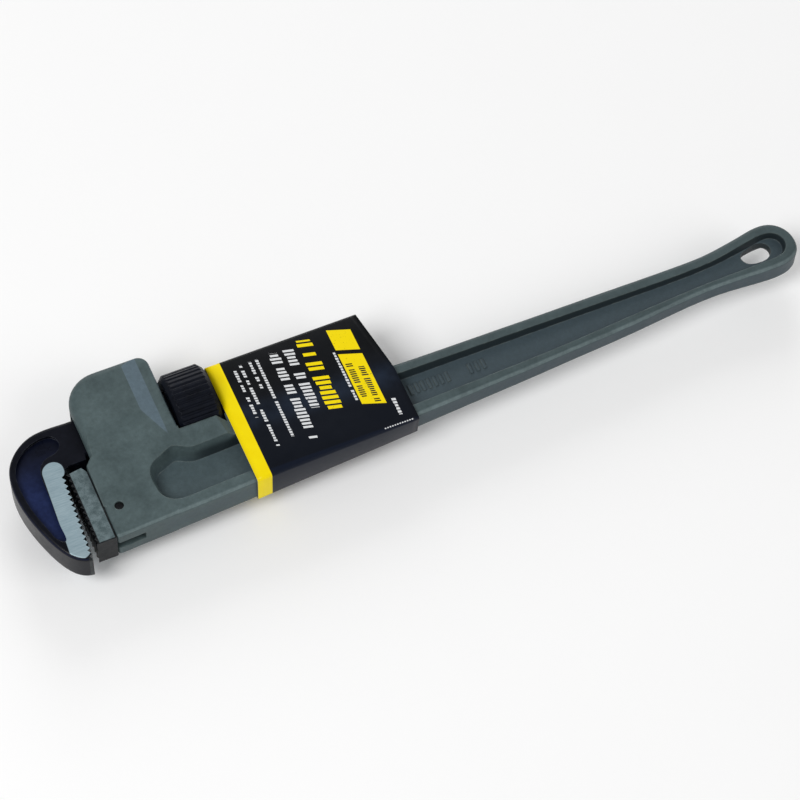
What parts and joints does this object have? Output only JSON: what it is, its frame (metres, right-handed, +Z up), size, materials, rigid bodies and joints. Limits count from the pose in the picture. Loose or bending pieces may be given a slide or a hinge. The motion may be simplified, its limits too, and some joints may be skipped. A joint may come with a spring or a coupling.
{
  "type": "pipe wrench",
  "caption": "Straight pipe wrench: cast I-beam handle with hanging eye and housing, toothed heel and hook jaws, knurled adjusting nut, card sleeve on the handle.",
  "frame": {"origin": "centre of the bounding box in plan, on the underside of the part as it lies on its side", "axes": "+X from the jaws to the hanging eye, +Y from the heel jaw to the top of the housing, +Z up through the thickness"},
  "size_m": [0.559, 0.1262, 0.0538],
  "materials": {
    "casting": "as cast, satin grey",
    "jaw_steel": "bare ground sides, blackened teeth",
    "pin_steel": "blackened",
    "forging": "dark blue-black enamel",
    "nut_steel": "blackened, knurled",
    "spring_steel": "oiled spring steel",
    "card": "printed card, black and yellow"
  },
  "bodies": {
    "handle": {"handle": "casting", "heel_jaw": "jaw_steel", "heel_jaw_pin": "pin_steel", "coil_spring": "spring_steel"},
    "spring_carrier": {"flat_spring": "spring_steel", "spring_rivet": "spring_steel"},
    "hook_jaw": {"hook_jaw": "forging"},
    "adjusting_nut": {"adjusting_nut": "nut_steel"},
    "card_sleeve": {"card_sleeve": "card"}
  },
  "joints": [
    {"name": "jaw_rock", "type": "hinge", "parent": "handle", "child": "spring_carrier", "pos_m": [-0.13438, 0.02231, 0.02691], "axis": [0, 0, 1], "range_deg": [-1.1, 1.1], "stiffness_Nm_per_rad": 20, "deforming": ["coil_spring"]},
    {"name": "jaw_slide", "type": "slide", "parent": "spring_carrier", "child": "hook_jaw", "axis": [-1, 0, 0], "range_m": [0, 0.088]},
    {"name": "nut_spin", "type": "hinge", "parent": "spring_carrier", "child": "adjusting_nut", "pos_m": [-0.14874, 0.02231, 0.02691], "axis": [1, 0, 0], "range_deg": [0, 6400]},
    {"name": "sleeve_slide", "type": "slide", "parent": "handle", "child": "card_sleeve", "axis": [1, 0, 0], "range_m": [0, 0.43]}
  ],
  "couplings": [
    {"joint": "nut_spin", "follows": "jaw_slide", "rad_per_m": 1256.6}
  ]
}
